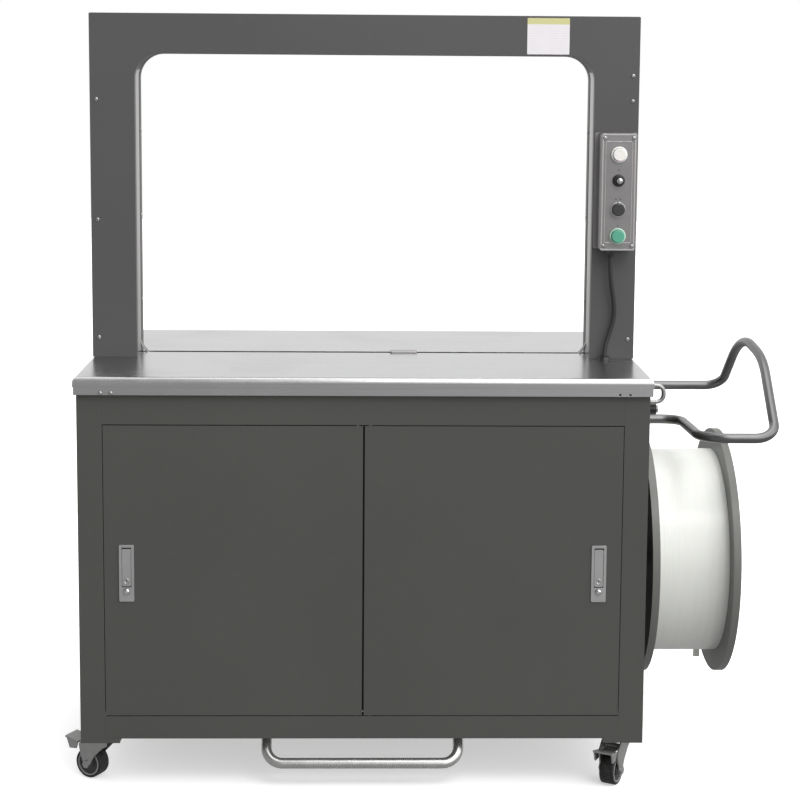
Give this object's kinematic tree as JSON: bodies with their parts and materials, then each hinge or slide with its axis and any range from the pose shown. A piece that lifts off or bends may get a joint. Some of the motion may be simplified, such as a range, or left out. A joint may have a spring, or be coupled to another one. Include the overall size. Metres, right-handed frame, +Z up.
{
  "type": "strapping machine",
  "caption": "Floor-standing strapping machine: steel cabinet on casters with two doors, flat table with a strap slit, rectangular strap arch, control box and a side strap reel.",
  "frame": {"origin": "middle of the whole machine's floor outline, on the floor", "axes": "+X towards the operator's right, where the reel is; +Y towards the rear; +Z up"},
  "size_m": [1.2318, 0.5882, 1.311],
  "materials": {
    "grey_paint": "satin powder coat",
    "stainless": "brushed",
    "steel": "machined",
    "zinc": "zinc plated",
    "chrome": "polished",
    "rail_grey": "satin",
    "box_metal": "satin",
    "dark_steel": "semi matte",
    "black_plastic": "matte",
    "rubber": "matte",
    "tyre": "matte",
    "white_button": "gloss",
    "black_button": "gloss",
    "green_button": "gloss",
    "strap": "translucent strap wound in layers",
    "motor": "painted"
  },
  "bodies": {
    "frame": {"corner_posts": "grey_paint", "frame_rails": "grey_paint", "base_tray": "grey_paint", "left_side_panel": "grey_paint", "right_side_panel": "grey_paint", "rear_panel": "grey_paint", "centre_mullion": "grey_paint", "door_hinge_pins": "steel", "table_front_plate": "stainless", "table_rear_plate": "stainless", "arch_front_cover": "grey_paint", "arch_shell": "grey_paint", "arch_track": "stainless", "control_box": "box_metal", "control_plate": "box_metal", "control_bezels": "chrome", "cable_glands": "black_plastic", "control_cable": "rubber", "reel_axle": "steel", "reel_nut": "black_plastic", "guard_rail": "rail_grey", "rail_sockets": "rail_grey", "strap_guide": "zinc", "caster_mounts": "zinc", "foot_bar_brackets": "steel", "head_frame": "steel", "drive_motor": "motor", "strap_pool": "stainless", "electrical_box": "box_metal", "casing_screws": "zinc"},
    "left_door": {"left_door": "grey_paint", "left_lock_body": "chrome"},
    "right_door": {"right_door": "grey_paint", "right_lock_body": "chrome"},
    "left_lock_lever": {"left_lock_lever": "chrome"},
    "right_lock_lever": {"right_lock_lever": "chrome"},
    "left_lock_button": {"left_lock_button": "chrome"},
    "right_lock_button": {"right_lock_button": "chrome"},
    "anvil_plate": {"anvil_plate": "steel"},
    "white_button": {"white_button": "white_button"},
    "black_button": {"black_button": "black_button"},
    "green_button": {"green_button": "green_button"},
    "mode_toggle": {"mode_toggle": "chrome"},
    "reel": {"reel_hub": "dark_steel", "reel_outer_flange": "dark_steel", "strap_coil": "strap"},
    "infeed_roller": {"infeed_roller": "black_plastic"},
    "left_fork": {"left_front_fork": "zinc"},
    "right_fork": {"right_front_fork": "zinc"},
    "left_front_wheel": {"left_front_wheel": "tyre"},
    "right_front_wheel": {"right_front_wheel": "tyre"},
    "left_brake_pedal": {"left_brake_pedal": "zinc"},
    "right_brake_pedal": {"right_brake_pedal": "zinc"},
    "left_rear_wheel": {"left_rear_wheel": "tyre"},
    "right_rear_wheel": {"right_rear_wheel": "tyre"},
    "foot_bar": {"foot_bar": "rail_grey"},
    "cam_shaft": {"cam_shaft": "steel"},
    "seal_press": {"seal_press": "steel"},
    "feed_roller": {"feed_roller": "steel"},
    "pinch_roller": {"pinch_roller": "rubber"}
  },
  "joints": [
    {"name": "left_door_hinge", "type": "hinge", "parent": "frame", "child": "left_door", "pos_m": [-0.11212, -0.26993, 0.3795], "axis": [0, 0, 1], "range_deg": [0, 80]},
    {"name": "left_lock_lever_hinge", "type": "hinge", "parent": "left_door", "child": "left_lock_lever", "pos_m": [-0.49762, -0.27193, 0.415], "axis": [-1, 0, 0], "range_deg": [0, 35]},
    {"name": "left_lock_button_press", "type": "slide", "parent": "left_door", "child": "left_lock_button", "axis": [0, 1, 0], "range_m": [0, 0.003], "stiffness_N_per_m": 300, "springref_m": -0.0005},
    {"name": "right_door_hinge", "type": "hinge", "parent": "frame", "child": "right_door", "pos_m": [-0.09112, -0.26993, 0.3795], "axis": [0, 0, -1], "range_deg": [0, 80]},
    {"name": "right_lock_lever_hinge", "type": "hinge", "parent": "right_door", "child": "right_lock_lever", "pos_m": [0.29438, -0.27193, 0.415], "axis": [-1, 0, 0], "range_deg": [0, 35]},
    {"name": "right_lock_button_press", "type": "slide", "parent": "right_door", "child": "right_lock_button", "axis": [0, 1, 0], "range_m": [0, 0.003], "stiffness_N_per_m": 300, "springref_m": -0.0005},
    {"name": "anvil_slide", "type": "slide", "parent": "frame", "child": "anvil_plate", "axis": [0, 1, 0], "range_m": [0, 0.01]},
    {"name": "white_button_press", "type": "slide", "parent": "frame", "child": "white_button", "axis": [0, 1, 0], "range_m": [0, 0.003], "stiffness_N_per_m": 400, "springref_m": -0.0005},
    {"name": "black_button_press", "type": "slide", "parent": "frame", "child": "black_button", "axis": [0, 1, 0], "range_m": [0, 0.003], "stiffness_N_per_m": 400, "springref_m": -0.0005},
    {"name": "green_button_press", "type": "slide", "parent": "frame", "child": "green_button", "axis": [0, 1, 0], "range_m": [0, 0.003], "stiffness_N_per_m": 400, "springref_m": -0.0005},
    {"name": "mode_toggle_swing", "type": "hinge", "parent": "frame", "child": "mode_toggle", "pos_m": [0.33713, -0.10794, 1.0295], "axis": [1, 0, 0], "range_deg": [-14, 14]},
    {"name": "reel_spin", "type": "hinge", "parent": "frame", "child": "reel", "pos_m": [0.39588, 0.00407, 0.35], "axis": [1, 0, 0], "continuous": true},
    {"name": "infeed_roller_spin", "type": "hinge", "parent": "frame", "child": "infeed_roller", "pos_m": [0.38388, 0.02006, 0.606], "axis": [1, 0, 0], "continuous": true},
    {"name": "left_caster_swivel", "type": "hinge", "parent": "frame", "child": "left_fork", "pos_m": [-0.54362, -0.22193, 0.0752], "axis": [0, 0, 1], "continuous": true},
    {"name": "left_front_wheel_spin", "type": "hinge", "parent": "left_fork", "child": "left_front_wheel", "pos_m": [-0.56826, -0.20863, 0.026], "axis": [-0.475, -0.88, 0], "continuous": true},
    {"name": "left_brake_pedal_hinge", "type": "hinge", "parent": "left_fork", "child": "left_brake_pedal", "pos_m": [-0.55858, -0.21386, 0.062], "axis": [-0.475, -0.88, 0], "range_deg": [0, 10]},
    {"name": "left_rear_wheel_spin", "type": "hinge", "parent": "frame", "child": "left_rear_wheel", "pos_m": [-0.54362, 0.23006, 0.026], "axis": [-1, 0, 0], "continuous": true},
    {"name": "right_caster_swivel", "type": "hinge", "parent": "frame", "child": "right_fork", "pos_m": [0.34038, -0.22193, 0.0752], "axis": [0, 0, 1], "continuous": true},
    {"name": "right_front_wheel_spin", "type": "hinge", "parent": "right_fork", "child": "right_front_wheel", "pos_m": [0.32685, -0.24645, 0.026], "axis": [0.8756, -0.4831, 0], "continuous": true},
    {"name": "right_brake_pedal_hinge", "type": "hinge", "parent": "right_fork", "child": "right_brake_pedal", "pos_m": [0.33217, -0.23682, 0.062], "axis": [0.8756, -0.4831, 0], "range_deg": [0, 10]},
    {"name": "right_rear_wheel_spin", "type": "hinge", "parent": "frame", "child": "right_rear_wheel", "pos_m": [0.34038, 0.23006, 0.026], "axis": [-1, 0, 0], "continuous": true},
    {"name": "foot_bar_hinge", "type": "hinge", "parent": "frame", "child": "foot_bar", "pos_m": [-0.10162, -0.23594, 0.117], "axis": [1, 0, 0], "range_deg": [0, 8], "stiffness_Nm_per_rad": 8, "springref_deg": -8.59},
    {"name": "cam_shaft_spin", "type": "hinge", "parent": "frame", "child": "cam_shaft", "pos_m": [-0.07162, 0.00407, 0.62], "axis": [0, 1, 0], "continuous": true},
    {"name": "seal_press_slide", "type": "slide", "parent": "frame", "child": "seal_press", "axis": [0, 0, 1], "range_m": [0, 0.006]},
    {"name": "feed_roller_spin", "type": "hinge", "parent": "frame", "child": "feed_roller", "pos_m": [-0.19162, 0.00407, 0.64], "axis": [0, 1, 0], "continuous": true},
    {"name": "pinch_roller_spin", "type": "hinge", "parent": "frame", "child": "pinch_roller", "pos_m": [-0.19162, 0.00407, 0.5894], "axis": [0, 1, 0], "continuous": true}
  ],
  "couplings": [
    {"joint": "pinch_roller_spin", "follows": "feed_roller_spin", "ratio": -1.5}
  ]
}
